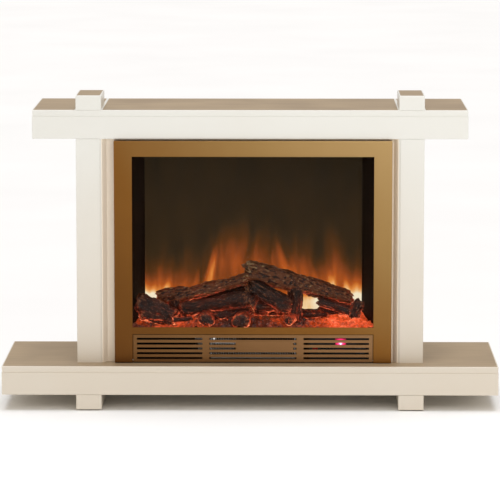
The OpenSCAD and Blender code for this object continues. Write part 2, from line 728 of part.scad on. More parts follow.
// Drum of curved blades between end discs, moulded on its shaft
disc_t = 2.5;
blade_in = impeller_r - 9;
blower_motor_l = 42;
blower_motor_x = -blower_x - scroll_t - blower_motor_l;
blower_shaft_inset = 6;                          // how far the shaft stops short of the motor's closed end
module blower_impeller() insert() color("#1e1e20") union() {
    for (x = [-impeller_l / 2, -disc_t / 2, impeller_l / 2 - disc_t])
        rod_x([x, blower_y, blower_z], impeller_r, disc_t);
    shaft_x0 = blower_motor_x + blower_shaft_inset;
    shaft_x1 = blower_x + scroll_t + 8;
    rod_x([shaft_x0, blower_y, blower_z], blower_shaft_r, shaft_x1 - shaft_x0);
    for (i = [0:impeller_blades - 1])
        translate([0, blower_y, blower_z]) rotate([360 / impeller_blades * i, 0, 0])
            along_x(-impeller_l / 2, impeller_l / 2)
                polygon([[blade_in, 0], [impeller_r - 0.5, 4], [impeller_r - 0.5, 5.2], [blade_in, 1.2]]);
}

blower_motor_r = 23;
module blower_motor() insert() color("#77706a") difference() {
    union() {
        rod_x([blower_motor_x, blower_y, blower_z], blower_motor_r, blower_motor_l);
        block([blower_motor_x + 8, blower_y - 18, base_z],
            [blower_motor_x + blower_motor_l - 8, blower_y + 18, blower_z]);
    }
    rod_x([blower_motor_x + blower_shaft_inset / 2, blower_y, blower_z], blower_shaft_r + run_gap,
        blower_motor_l);
}

// Finned heater block at the mouth of the duct
heater_y = [plenum_y - 24, plenum_y];
fin_pitch = 6;
fin_t = 0.8;
fin_count = floor((2 * blower_x - 8) / fin_pitch);
module heating_element() insert() color("#c9c9cc") {
    z0 = plenum_z[0];
    z1 = plenum_z[1];
    union() {
        difference() {
            block([-blower_x - scroll_t, heater_y[0], z0], [blower_x + scroll_t, heater_y[1], z1]);
            block([-blower_x, heater_y[0] - eps, z0 + 3], [blower_x, heater_y[1] + eps, z1 - 3]);
        }
        for (z = [z0 + (z1 - z0) / 3, z0 + 2 * (z1 - z0) / 3])
            block([-blower_x - 1, heater_y[0] + 3, z - 2], [blower_x + 1, heater_y[1] - 3, z + 2]);
        for (i = [0:fin_count])
            block([-fin_count * fin_pitch / 2 + i * fin_pitch - fin_t / 2, heater_y[0] + 2, z0 + 1],
                [-fin_count * fin_pitch / 2 + i * fin_pitch + fin_t / 2, heater_y[1] - 2, z1 - 1]);
    }
}

// ---- controls behind the right of the grille ----

panel_y = fascia_y + 21;                         // front of the control panel
panel_t = 2;
panel_x0 = window_w / 2 - 155;
panel_x1 = window_w / 2 - 2;
panel_z0 = base_z + 1;
panel_z1 = sill_z - 1;
rocker_w = 12;
rocker_h = 18;
rocker_gap = 0.4;
rocker_pitch = 20;
rocker_x = [for (i = [0:2]) panel_x0 + 14 + i * rocker_pitch];
rocker_z = fascia_z + grille_h / 2 - 4;
rocker_axis_y = panel_y + 2.5;
rocker_pivot_r = 1;
rocker_tilt = 8;                                 // each way from level
bezel = 2;
bezel_t = 1.5;
switch_d = 14;
knob_x = panel_x1 - 30;
knob_z = rocker_z;
knob_shaft_r = 3;
lamp_x = window_w / 2 - 79;
slot_pitch = (grille_h - 11) / slot_rows;
lamp_z = fascia_z + grille_h / 2 + slot_pitch;
lamp_pipe_r = 2;

// Panel with its three switch bodies, in one moulding
module control_panel() insert() color("#262423") difference() {
    union() {
        block([panel_x0, panel_y, panel_z0], [panel_x1, panel_y + panel_t, panel_z1]);
        for (x = rocker_x)
            block([x - rocker_w / 2 - bezel, panel_y - bezel_t, rocker_z - rocker_h / 2 - bezel],
                [x + rocker_w / 2 + bezel, panel_y + switch_d, rocker_z + rocker_h / 2 + bezel]);
        rod_y([knob_x, panel_y + panel_t, knob_z], 9, 12);
        block([panel_x0, panel_y + panel_t, base_z], [panel_x0 + 4, panel_y + 30, panel_z0 + 12]);
    }
    for (x = rocker_x) {
        block([x - rocker_w / 2 - rocker_gap, panel_y - bezel_t - eps, rocker_z - rocker_h / 2 - rocker_gap],
            [x + rocker_w / 2 + rocker_gap, panel_y + 9, rocker_z + rocker_h / 2 + rocker_gap]);
        rod_x([x - rocker_w / 2 - 1.5, rocker_axis_y, rocker_z], rocker_pivot_r + run_gap, rocker_w + 3);
    }
    rod_y([knob_x, panel_y - eps, knob_z], knob_shaft_r + run_gap, 12);
    rod_y([lamp_x, panel_y - eps, lamp_z], lamp_pipe_r, panel_t + 2 * eps);
}

// Rocker with two faces that meet in a shallow valley, at rest with its upper end pressed in
module rocker(x) {
    h = rocker_h / 2 - 0.3;
    valley = 2.2;
    tip = 3.4;
    half_profile = [[-valley, 0], [-tip, h], [1, h], [4, 3]];
    outline = concat(half_profile, [for (i = [3:-1:1]) [half_profile[i][0], -half_profile[i][1]]]);
    translate([0, rocker_axis_y, rocker_z]) rotate([-rocker_tilt, 0, 0])
        union() {
            along_x(x - rocker_w / 2, x + rocker_w / 2)
                translate([panel_y - rocker_axis_y, 0]) polygon(outline);
            rod_x([x - rocker_w / 2 - 1.2, 0, 0], rocker_pivot_r, rocker_w + 2.4);
        }
}
module flame_switch() insert() color("#b5231d") rocker(rocker_x[0]);
module low_heat_switch() insert() color("#1d1d1d") rocker(rocker_x[1]);
module high_heat_switch() insert() color("#1d1d1d") rocker(rocker_x[2]);

// Knob with a pointer rib, on its own shaft
module thermostat_knob() insert() color("#1d1d1d") union() {
    rod_y([knob_x, panel_y - 8, knob_z], knob_r, 7);
    block([knob_x - 1.5, panel_y - 10, knob_z - knob_r + 2],
        [knob_x + 1.5, panel_y - 7.5, knob_z + knob_r - 2]);
    rod_y([knob_x, panel_y - 2, knob_z], knob_shaft_r, 12);
}

// Light pipe whose tip shows in the grille's second slot, and the red window it passes through
lamp_window = [26, 20];
module indicator_lamp() insert() color("#e0214a") union() {
    rod_y([lamp_x, flap_front + 0.5, lamp_z], lamp_pipe_r, panel_y + panel_t + 4 - flap_front - 0.5);
    block([lamp_x - lamp_window[0] / 2, panel_y - 3, lamp_z - lamp_window[1] / 2],
        [lamp_x + lamp_window[0] / 2, panel_y, lamp_z + lamp_window[1] / 2]);
}

// Circuit board on edge behind the panel, with its larger parts
module control_board() insert() color("#2f5a3a") {
    y0 = panel_y + 36;
    x0 = panel_x0 + 6;
    x1 = panel_x1 - 4;
    union() {
        block([x0, y0, base_z], [x1, y0 + board_pcb_t, ember_board_z - 4]);
        for (i = [0:2])
            block([x0 + 10 + i * 28, y0 + board_pcb_t, base_z + 10],
                [x0 + 28 + i * 28, y0 + 16, base_z + 26]);
        for (i = [0:1]) rod_y([x1 - 20 - i * 18, y0 + board_pcb_t, base_z + 38], 6, 20);
    }
}

// ---- grille flap ----

mullion_w = 17;
slot_x = [window_w / 2 - 10.5, window_w * 0.181];
slot_bays = [[-slot_x[0], -slot_x[1] - mullion_w], [-slot_x[1], slot_x[1]],
    [slot_x[1] + mullion_w, slot_x[0]]];
slot_z = [for (i = [0:slot_rows - 1]) fascia_z + grille_h / 2 + (i - (slot_rows - 1) / 2) * slot_pitch];
badge = [-42, 98];                               // where a plain plate covers part of two slots
badge_t = 0.8;

flap_hinge = [flap_x - 12, flap_axis[0], flap_axis[1]];
module grille_flap() insert() color("#8f6f45") union() {
    difference() {
        union() {
            block([-flap_x, flap_front, flap_axis[1] - lug_r],
                [flap_x, flap_front + plate_t, sill_z - flap_gap]);
            block([-flap_x, flap_front + eps, sill_z - flap_gap - 2],
                [flap_x, flap_back, sill_z - flap_gap]);
            both_sides() rod_x(flap_hinge, lug_r, 12);
        }
        for (b = slot_bays, z = slot_z)
            block([b[0], flap_front - eps, z - slot_h / 2],
                [b[1], flap_front + plate_t + eps, z + slot_h / 2]);
        both_sides() rod_x(flap_hinge - [eps, 0, 0], flap_pin_r + run_gap, 12 + 2 * eps);
    }
    block([badge[0], flap_front - badge_t, lamp_z - 1.5 * slot_pitch],
        [badge[1], flap_front + plate_t, lamp_z + slot_pitch / 2]);
}
module flap_pins() insert() color("#b8bcc0") both_sides() union() {
    rod_x([flap_x - 10, flap_axis[0], flap_axis[1]], flap_pin_r, flap_gap + 10 + return_t);
    rod_x([window_w / 2 + return_t, flap_axis[0], flap_axis[1]], pin_head_r, 1.5);
}

hearth_top();
hearth_front();
hearth_end_left();
hearth_end_right();
hearth_base();
hearth_ribs();
hearth_inlay();
foot_left();
foot_right();
foot_glides();
post_left();
post_right();
reveal_strips();
infill_panel();
mantel_top();
mantel_front();
mantel_end_left();
mantel_end_right();
mantel_base();
mantel_ribs();
mantel_inlays();
post_cap_left();
post_cap_right();
wall_brackets();
fascia_frame();
glass_gasket();
glass_pane();
glass_clips();
chassis_wrap();
chassis_base();
rear_cover();
case_screws();
cord_gland();
cheek_left();
cheek_right();
ember_tray();
ember_bed();
log_back_left();
log_top_right();
logs_front();
twigs();
flame_screen();
flame_mask();
flicker_spindle();
spindle_motor();
flame_led_board();
ember_led_board();
blower_housing();
blower_impeller();
blower_motor();
heating_element();
control_panel();
control_board();
flame_switch();
low_heat_switch();
high_heat_switch();
thermostat_knob();
indicator_lamp();
grille_flap();
flap_pins();
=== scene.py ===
# %% [markdown]
# # An electric fireplace
# The fireplace is a suite: lacquered boards make crossed beams and posts, and a brass-framed electric
# fire stands between them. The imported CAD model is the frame. It gives every board, panel and screw its
# place, so this lesson spends its time on finishes, and on the pieces that CAD can only block out: the
# logs, the bed of embers, the picture of the flames and the small controls.

# %% Load the frame
import math
import random

import bpy
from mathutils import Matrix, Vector


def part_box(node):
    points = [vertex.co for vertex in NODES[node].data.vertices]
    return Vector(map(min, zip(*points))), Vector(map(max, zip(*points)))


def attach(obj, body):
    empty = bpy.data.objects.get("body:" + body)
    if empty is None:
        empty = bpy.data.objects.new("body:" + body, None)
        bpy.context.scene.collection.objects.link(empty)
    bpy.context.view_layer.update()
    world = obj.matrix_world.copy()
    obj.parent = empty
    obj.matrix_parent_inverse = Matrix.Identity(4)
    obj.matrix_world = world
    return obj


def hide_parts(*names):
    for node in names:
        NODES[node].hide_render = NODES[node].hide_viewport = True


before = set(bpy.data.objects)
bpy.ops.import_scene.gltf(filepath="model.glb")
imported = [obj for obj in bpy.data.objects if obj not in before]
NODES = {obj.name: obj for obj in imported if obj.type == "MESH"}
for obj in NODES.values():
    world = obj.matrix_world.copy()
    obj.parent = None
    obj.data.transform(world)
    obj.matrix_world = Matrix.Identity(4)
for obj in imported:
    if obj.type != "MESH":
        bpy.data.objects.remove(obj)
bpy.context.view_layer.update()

# %% [markdown]
# Sizes are written in millimetres, as on a drawing, and turned into Blender's metres by one factor.
# Colours are written as the hex values that a paint chart gives. Blender's sockets are linear, so one
# function turns them.

# %% Units and colours
MM = 0.001


def linear(hex_colour):
    """An sRGB hex colour as the linear values that a shader reads."""
    channels = [int(hex_colour[i:i + 2], 16) / 255 for i in (1, 3, 5)]
    return [c / 12.92 if c <= 0.04045 else ((c + 0.055) / 1.055) ** 2.4 for c in channels] + [1.0]


print("mid grey #808080 is", round(linear("#808080")[0], 3), "to a shader")

# %% [markdown]
# A camera a long way off with a long lens keeps the beams nearly parallel, as in a catalogue picture.
# It stands above the mantel and looks slightly down, so that the tops of the mantel and the hearth show
# as narrow bands.

# %% Camera
camera_data = bpy.data.cameras.new("catalogue_camera")
camera_data.sensor_width = 36.0
camera_data.lens = 226.9
camera_data.clip_end = 200.0
camera = bpy.data.objects.new("catalogue_camera", camera_data)
bpy.context.scene.collection.objects.link(camera)
camera.location = Vector((0.080, -7.670, 1.453))
aim = Vector((-0.0015, 0.0, 0.367))
camera.rotation_euler = (aim - camera.location).to_track_quat("-Z", "Y").to_euler()
bpy.context.scene.camera = camera
print("camera", round((aim - camera.location).length, 2), "m from the fire")

# %% [markdown]
# The room is a pale floor and soft light. The pale world lights everything evenly, and a wide, soft sun
# straight overhead lifts the floor to white. The key lamp, close by at the upper right, lights the
# fronts, more at the top than at the bottom, and a weak fill lamp at the left softens its shadows; the
# lacquer's colour adds painted shade lower down. Satin brass shows what is in front of it, so the key lamp
# gives the fascia part of its bright side, and the rest of its bright and dark sides is painted reflection in
# the brass colour.

# %% Floor, world and lights
def lamp(name, kind, place, target, power, colour, **shape):
    """A lamp at a place, turned towards a target."""
    data = bpy.data.lights.new(name, kind)
    data.energy = power
    data.color = linear(colour)[:3]
    for key, value in shape.items():
        setattr(data, key, value)
    thing = bpy.data.objects.new(name, data)
    thing.location = place
    thing.rotation_euler = (Vector(target) - Vector(place)).to_track_quat("-Z", "Y").to_euler()
    bpy.context.scene.collection.objects.link(thing)


bpy.ops.object.select_all(action="DESELECT")
bpy.ops.mesh.primitive_plane_add(size=120, location=(0, 0, -0.0005))
floor = bpy.context.object
floor.name = "studio_floor"

world = bpy.data.worlds.new("studio")
world.use_nodes = True
world.node_tree.nodes["Background"].inputs["Color"].default_value = linear("#fff6ea")
world.node_tree.nodes["Background"].inputs["Strength"].default_value = 0.58
bpy.context.scene.world = world
lamp("overhead", "SUN", (0, 0, 4), (0, 0, 0), 1.85, "#f0f5ff", angle=0.7)
lamp("key", "AREA", (0.75, -1.9, 1.35), (0.1, 0, 0.5), 7.0, "#ffffff", shape="SQUARE", size=0.9)
lamp("fill", "AREA", (-1.3, -2.2, 1.2), (-0.1, 0, 0.4), 3.0, "#ffffff", shape="SQUARE", size=1.2)
bpy.context.scene.view_settings.view_transform = "Standard"

# %% [markdown]
# Materials are built from nodes, and one small function adds a node. Its inputs may be numbers, colours,
# or the node or socket that feeds them, so that a material reads as a list of what feeds what. Object
# coordinates are used throughout: every object here sits at the origin, so they are metres in the
# object's own frame, and a pattern's scale is a real size.

# %% Helpers for materials
def add(tree, kind, inputs=None, stops=(), **settings):
    """Adds a shader node with its settings, its inputs and, for a ramp, its (position, colour) stops."""
    node = tree.nodes.new("ShaderNode" + kind)
    for key, value in settings.items():
        setattr(node, key, value)
    for key, value in (inputs or {}).items():
        feed = value.outputs[0] if isinstance(value, bpy.types.Node) else value
        if isinstance(feed, bpy.types.NodeSocket):
            tree.links.new(feed, node.inputs[key])
        else:
            node.inputs[key].default_value = feed
    for index, (position, colour) in enumerate(stops):
        elements = node.color_ramp.elements
        element = elements[index] if index < 2 else elements.new(position)
        element.position, element.color = position, linear(colour)
    return node


def start(name, **shader):
    """A new material's tree, its Principled shader and its Object coordinates."""
    material = bpy.data.materials.new(name)
    material.use_nodes = True
    tree = material.node_tree
    bsdf = tree.nodes["Principled BSDF"]
    for key, value in shader.items():
        bsdf.inputs[key.replace("_", " ")].default_value = value
    return material, tree, bsdf, add(tree, "TexCoord").outputs["Object"]


def finish(tree, bsdf, colour=None, height=None, depth_mm=0.02, strength=0.5, roughness=None, glow=None):
    """Links a surface's colour, relief, roughness and glow to its shader, where it has them."""
    feeds = {"Base Color": colour, "Roughness": roughness, "Emission Color": glow}
    if height is not None:
        feeds["Normal"] = add(tree, "Bump", {"Height": height, "Distance": depth_mm * MM, "Strength": strength})
    for key, feed in feeds.items():
        if feed is not None:
            tree.links.new(feed.outputs[0] if isinstance(feed, bpy.types.Node) else feed, bsdf.inputs[key])


def clothe(material, *names):
    """Gives a material to CAD nodes."""
    for name in names:
        NODES[name].data.materials.clear()
        NODES[name].data.materials.append(material)
    print(material.name, "on", len(names), "nodes")


# %% [markdown]
# The boards are fibreboard, sprayed with satin lacquer. Sprayed lacquer is never quite flat: it has a
# faint orange peel, a few millimetres across, which softens reflections. A second, larger noise lets the
# tint wander a very little, as it does over a metre of real board. The tint also darkens and warms from a
# clean white at the mantel to ivory at the hearth: that is painted shade, less light lower down, laid into the
# colour.

# %% Satin lacquer
mantel_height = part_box("mantel_top")[1].z


def satin_lacquer(name, high, low, roughness):
    material, tree, bsdf, coords = start(name, Roughness=roughness, IOR=1.48, Coat_Weight=0.2,
                                         Coat_Roughness=0.25)
    height = add(tree, "SeparateXYZ", {"Vector": coords}).outputs["Z"]
    drift = add(tree, "TexNoise", {"Vector": coords, "Scale": 1 / (260 * MM), "Detail": 2.0})
    # painted shade: the share of the high tint falls towards the bottom, so the lacquer darkens and warms lower
    # down
    share = add(tree, "MapRange", {"Value": height, "From Min": 0.10, "From Max": mantel_height - 0.06})
    wander = add(tree, "MapRange", {"Value": drift, "From Min": 0.3, "From Max": 0.7,
                                    "To Min": -0.08, "To Max": 0.08})
    tint_with_painted_shade = add(tree, "ValToRGB", {"Fac": add(tree, "Math", {0: share, 1: wander}, operation="ADD")},
               stops=[(0.0, low), (1.0, high)])
    peel = add(tree, "TexNoise", {"Vector": coords, "Scale": 1 / (2.6 * MM), "Detail": 2.0})
    finish(tree, bsdf, colour=tint_with_painted_shade, height=peel)
    return material


clothe(satin_lacquer("satin_white_sprayed_lacquer", "#ebebe5", "#dfd5c5", 0.34), "hearth_top", "hearth_front",
       "hearth_end_left", "hearth_end_right", "hearth_base", "foot_left", "foot_right", "post_left",
       "post_right", "mantel_top", "mantel_front", "mantel_end_left", "mantel_end_right", "mantel_base",
       "post_cap_left", "post_cap_right")
clothe(satin_lacquer("satin_cream_sprayed_lacquer", "#fbf0de", "#f7e8d2", 0.38), "reveal_strips",
       "infill_panel")

# %% [markdown]
# The tops are taupe, with a grain that runs along the beam: fine streaks a few millimetres wide and some
# decimetres long, under a satin finish. The taupe is painted shade and a painted brown reflection on the tops.

# %% Taupe tops, painted shade and reflection
taupe_painted_shade_tops, tree, bsdf, coords = start("taupe_painted_shade_and_reflection_tops", Roughness=0.40, IOR=1.5)
along = add(tree, "Mapping", {"Vector": coords, "Scale": (0.05, 1.0, 1.0)})
streaks = add(tree, "TexNoise", {"Vector": along, "Scale": 1 / (9 * MM), "Detail": 5.0, "Roughness": 0.62,
                                 "Distortion": 0.4})
clouds = add(tree, "TexNoise", {"Vector": coords, "Scale": 1 / (160 * MM), "Detail": 2.0})
grain = add(tree, "Mix", {"Factor": 0.45, "A": streaks, "B": clouds}, data_type="FLOAT")
# painted shade and reflection: these taupe stops darken the tops against the white fronts
painted_shade_grain_colour = add(tree, "ValToRGB", {"Fac": grain}, stops=[(0.38, "#968064"), (0.62, "#ad9676")])
finish(tree, bsdf, colour=painted_shade_grain_colour, height=streaks, depth_mm=0.04)
clothe(taupe_painted_shade_tops, "hearth_inlay", "mantel_inlays")

# %% [markdown]
# Inside the beams are ribs of plain chipboard, which show only from behind. Chips a few millimetres
# long lie every way, so a cell pattern gives each chip its own shade.

# %% Chipboard
chipboard, tree, bsdf, coords = start("pressed_chipboard", Roughness=0.85, IOR=1.45)
flattened = add(tree, "Mapping", {"Vector": coords, "Scale": (0.6, 1.0, 1.4)})
chips = add(tree, "TexVoronoi", {"Vector": flattened, "Scale": 1 / (5 * MM)})
shade = add(tree, "SeparateColor", {"Color": chips.outputs["Color"]})
chip_colour = add(tree, "ValToRGB", {"Fac": shade},
                  stops=[(0.0, "#a98453"), (0.5, "#c9a774"), (1.0, "#dcc193")])
finish(tree, bsdf, colour=chip_colour, height=chips, depth_mm=0.2)
clothe(chipboard, "hearth_ribs", "mantel_ribs")

# %% [markdown]
# The fascia and the grille are steel with an antique brass finish: fine satin brushing under a clear
# lacquer. The brushing runs along each part, and stretches highlights across it. The brass runs from a red
# brown low down on the left to a paler straw colour high up on the right: that sweep is painted reflection,
# the dark and bright sides that a room shows in satin brass, with slow clouds of uneven toning between.

# %% Antique brass
fascia_low, fascia_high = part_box("fascia_frame")


def antique_brass(name, stops, roughness):
    material, tree, bsdf, coords = start(name, Metallic=1.0, Roughness=roughness)
    place = add(tree, "SeparateXYZ", {"Vector": coords})
    # painted reflection: the colour brightens to the right and upwards, where the key lamp's side lies
    side = add(tree, "MapRange", {"Value": place.outputs["X"], "From Min": fascia_low.x,
                                  "From Max": fascia_high.x, "To Min": 0.35, "To Max": 1.0})
    rise = add(tree, "MapRange", {"Value": place.outputs["Z"], "From Min": fascia_low.z,
                                  "From Max": fascia_high.z, "To Min": 0.30, "To Max": 1.0})
    painted_reflection_sweep = add(tree, "Math", {0: side, 1: rise}, operation="MULTIPLY")
    clouds = add(tree, "TexNoise", {"Vector": coords, "Scale": 1 / (190 * MM), "Detail": 3.0})
    worn = add(tree, "Mix", {"Factor": 0.14, "A": painted_reflection_sweep, "B": clouds}, data_type="FLOAT")
    patina_and_painted_reflection = add(tree, "ValToRGB", {"Fac": worn}, stops=stops)
    brushing = add(tree, "Mapping", {"Vector": coords, "Scale": (0.03, 1.0, 1.0)})
    scratches = add(tree, "TexNoise", {"Vector": brushing, "Scale": 1 / (0.9 * MM), "Detail": 3.0,
                                        "Roughness": 0.6})
    satin = add(tree, "MapRange", {"Value": scratches, "From Min": 0.3, "From Max": 0.7,
                                   "To Min": roughness - 0.05, "To Max": roughness + 0.07})
    finish(tree, bsdf, colour=patina_and_painted_reflection, roughness=satin, height=scratches, strength=0.35)
    return material


# from dark to pale, these stops carry the painted reflection across the fascia and the grille
BRASS_WITH_PAINTED_REFLECTION = [(0.16, "#643f1d"), (0.36, "#835828"), (0.66, "#a38250"), (0.94, "#b99a69")]
GRILLE_BRASS_WITH_PAINTED_REFLECTION = [(0.18, "#72502f"), (0.36, "#906c49"), (0.66, "#a8855e"), (0.94, "#bb9c70")]
clothe(antique_brass("antique_brass_satin_lacquered", BRASS_WITH_PAINTED_REFLECTION, 0.36), "fascia_frame")
clothe(antique_brass("antique_brass_brushed_grille", GRILLE_BRASS_WITH_PAINTED_REFLECTION, 0.40), "grille_flap")

# %% [markdown]
# Behind the fascia everything is matt black, so that it disappears: powder-coated steel with a fine
# grit, moulded black plastic, rubber and felt. They differ in tone, in the size of the grit and in gloss.

# %% Black parts
def gritty(name, deep, pale, grit_mm, roughness, gloss=0.5):
    material, tree, bsdf, coords = start(name, Roughness=roughness, IOR=1.5, Specular_IOR_Level=gloss)
    grit = add(tree, "TexNoise", {"Vector": coords, "Scale": 1 / (grit_mm * MM), "Detail": 2.0,
                                  "Roughness": 0.7})
    clouds = add(tree, "TexNoise", {"Vector": coords, "Scale": 1 / (60 * MM), "Detail": 2.0})
    shade = add(tree, "ValToRGB", {"Fac": clouds}, stops=[(0.3, deep), (0.7, pale)])
    finish(tree, bsdf, colour=shade, height=grit, depth_mm=0.12, strength=0.6)
    return material


gloss_plastic = gritty("black_gloss_moulded_plastic", "#121213", "#161617", 6.0, 0.22)
black_plastic = gritty("black_moulded_plastic", "#171717", "#1d1d1e", 0.9, 0.48)
clothe(gritty("matt_black_powder_coat", "#1d1b19", "#242220", 1.4, 0.62), "chassis_wrap", "chassis_base",
       "rear_cover", "ember_tray")
clothe(gritty("brown_black_firebox_paint", "#1c0f06", "#241408", 1.6, 0.85, gloss=0.08), "cheek_left",
       "cheek_right")
clothe(black_plastic, "blower_housing", "blower_impeller", "control_panel", "cord_gland")
clothe(gloss_plastic, "low_heat_switch", "high_heat_switch", "thermostat_knob")
clothe(gritty("black_silicone_rubber", "#141414", "#1a1a1a", 2.0, 0.75), "glass_gasket")
clothe(gritty("pressed_felt_glide", "#3b342d", "#4a4138", 1.0, 0.95), "foot_glides")

# %% [markdown]
# Bare metal parts are zinc plated, with the pale, slightly blue, cloudy look of passivation, or bright
# rolled aluminium, or blackened steel. Rolling leaves faint lines along the sheet.

# %% Plated and bare metal
def bare_metal(name, deep, pale, roughness, cloud_mm):
    material, tree, bsdf, coords = start(name, Metallic=1.0, Roughness=roughness)
    clouds = add(tree, "TexNoise", {"Vector": coords, "Scale": 1 / (cloud_mm * MM), "Detail": 4.0,
                                    "Roughness": 0.6})
    shade = add(tree, "ValToRGB", {"Fac": clouds}, stops=[(0.35, deep), (0.65, pale)])
    lengthwise = add(tree, "Mapping", {"Vector": coords, "Scale": (0.04, 1.0, 1.0)})
    rolled = add(tree, "TexNoise", {"Vector": lengthwise, "Scale": 1 / (0.8 * MM), "Detail": 2.0})
    finish(tree, bsdf, colour=shade, height=rolled, strength=0.4)
    return material


blackened = bare_metal("blackened_steel_screws", "#2b2a29", "#3a3938", 0.42, 8)
clothe(bare_metal("zinc_plated_passivated_steel", "#aeb2b3", "#c9cdd0", 0.36, 12), "wall_brackets",
       "glass_clips", "spindle_motor", "blower_motor", "flap_pins")
clothe(bare_metal("bright_rolled_aluminium", "#c2c3c4", "#d6d7d8", 0.30, 40), "flame_mask", "flicker_spindle",
       "heating_element")
clothe(blackened, "case_screws")

# %% [markdown]
# The circuit boards are green solder mask over copper tracks. A brick pattern stands for the tracks:
# lines a millimetre or so wide, a shade lighter than the mask.

# %% Circuit boards
circuit_board, tree, bsdf, coords = start("green_solder_mask_board", Roughness=0.35, IOR=1.5)
tracks = add(tree, "TexBrick", {"Vector": coords, "Color1": linear("#1f6b3c"), "Color2": linear("#1a5c34"),
                                "Mortar": linear("#3f9460"), "Scale": 1.0, "Mortar Size": 0.6 * MM,
                                "Brick Width": 18 * MM, "Row Height": 5 * MM})
finish(tree, bsdf, colour=tracks, height=tracks.outputs["Fac"], depth_mm=0.03, strength=0.4)
clothe(circuit_board, "flame_led_board", "ember_led_board", "control_board")

# %% [markdown]
# The flame switch is translucent red plastic, and so is the window of the indicator lamp, which is lit
# from behind: its glow fades from a white heart to deep pink at the edge.

# %% Red plastics
rocker_red, tree, bsdf, coords = start("translucent_red_rocker_plastic", Roughness=0.25, IOR=1.5,
                                       Subsurface_Weight=0.2, Subsurface_Scale=0.004)
swirl = add(tree, "TexNoise", {"Vector": coords, "Scale": 1 / (8 * MM)})
finish(tree, bsdf, colour=add(tree, "ValToRGB", {"Fac": swirl}, stops=[(0.3, "#a01a14"), (0.7, "#b8231b")]))
clothe(rocker_red, "flame_switch")

indicator_low, indicator_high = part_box("indicator_lamp")
heart = (indicator_low + indicator_high) / 2
lamp_glow, tree, bsdf, coords = start("lit_red_indicator_lens", Roughness=0.3, IOR=1.5, Emission_Strength=2.4)
bsdf.inputs["Base Color"].default_value = linear("#7a1030")
centred = add(tree, "Mapping", {"Vector": coords, "Scale": (1, 0, 1), "Location": (-heart.x, 0, -heart.z)})
distance = add(tree, "VectorMath", {0: centred}, operation="LENGTH").outputs["Value"]
reach = add(tree, "Math", {0: distance, 1: 13 * MM}, operation="DIVIDE")
halo = [(0.0, "#ffe8f4"), (0.25, "#ff6aa2"), (0.55, "#c81e55"), (1.0, "#6a0c28")]
finish(tree, bsdf, glow=add(tree, "ValToRGB", {"Fac": reach}, stops=halo))
clothe(lamp_glow, "indicator_lamp")

# %% [markdown]
# The glass is clear float glass, 4 mm thick, with an anti-reflection coating. Light passes through it
# nearly unchanged, so it is drawn as a thin clear surface that keeps only a faint reflection, and a
# slow noise in the roughness stands for the wipe marks of a duster.

# %% Glass
float_glass, tree, bsdf, coords = start("clear_coated_float_glass", Roughness=0.03, IOR=1.5, Alpha=0.06,
                                        Specular_IOR_Level=0.12)
bsdf.inputs["Base Color"].default_value = linear("#14120f")
smears = add(tree, "TexNoise", {"Vector": coords, "Scale": 1 / (120 * MM), "Detail": 2.0})
wiped = add(tree, "MapRange", {"Value": smears, "From Min": 0.4, "From Max": 0.7,
                               "To Min": 0.03, "To Max": 0.09})
finish(tree, bsdf, roughness=wiped)
clothe(float_glass, "glass_pane")

# %% [markdown]
# The flames are a picture: lamps and a turning spindle throw moving light on to the back of a smoked
# acrylic screen. Here one still moment of it is painted with nodes. A warm haze fades with height above
# the bed, and stands higher in the middle. Noise, drawn out upwards, breaks it into licks. Some tongues
# that stand out are listed one by one, and the fire is brightest low down at the two ends. One ramp then
# turns brightness into the colours of a wood fire.

# %% Flame picture
screen_low, screen_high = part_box("flame_screen")
bed_low, bed_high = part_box("ember_bed")
middle_x = (screen_low.x + screen_high.x) / 2
half_screen = (screen_high.x - screen_low.x) / 2


def flame_tongue(tree, across, height, foot, tip, half_mm, strength):
    """One flame: a soft streak from foot to tip, in millimetres, which narrows and fades upwards."""
    rise = add(tree, "MapRange", {"Value": height, "From Min": foot[1] * MM, "From Max": tip[1] * MM})
    centre = add(tree, "MapRange", {"Value": rise, "To Min": foot[0] * MM, "To Max": tip[0] * MM})
    beside = add(tree, "Math", {0: across, 1: centre}, operation="SUBTRACT")
    off = add(tree, "Math", {0: beside}, operation="ABSOLUTE")
    width = add(tree, "MapRange", {"Value": rise, "To Min": half_mm * MM, "To Max": 0.25 * half_mm * MM})
    body = add(tree, "MapRange", {"Value": add(tree, "Math", {0: off, 1: width}, operation="DIVIDE"),
                                  "To Min": strength, "To Max": 0.0}, interpolation_type="SMOOTHERSTEP")
    low_fade = add(tree, "MapRange", {"Value": height, "From Min": (foot[1] - 45) * MM,
                                      "From Max": foot[1] * MM}, interpolation_type="SMOOTHSTEP")
    high_fade = add(tree, "MapRange", {"Value": rise, "From Min": 0.25, "To Min": 1.0, "To Max": 0.0},
                    interpolation_type="SMOOTHSTEP")
    fade = add(tree, "Math", {0: low_fade, 1: high_fade}, operation="MULTIPLY")
    return add(tree, "Math", {0: body, 1: fade}, operation="MULTIPLY")


# %% [markdown]
# Each tongue is a foot and a tip, in millimetres across from the screen's middle and up from the bed,
# then half its width at the foot and how strong it is.

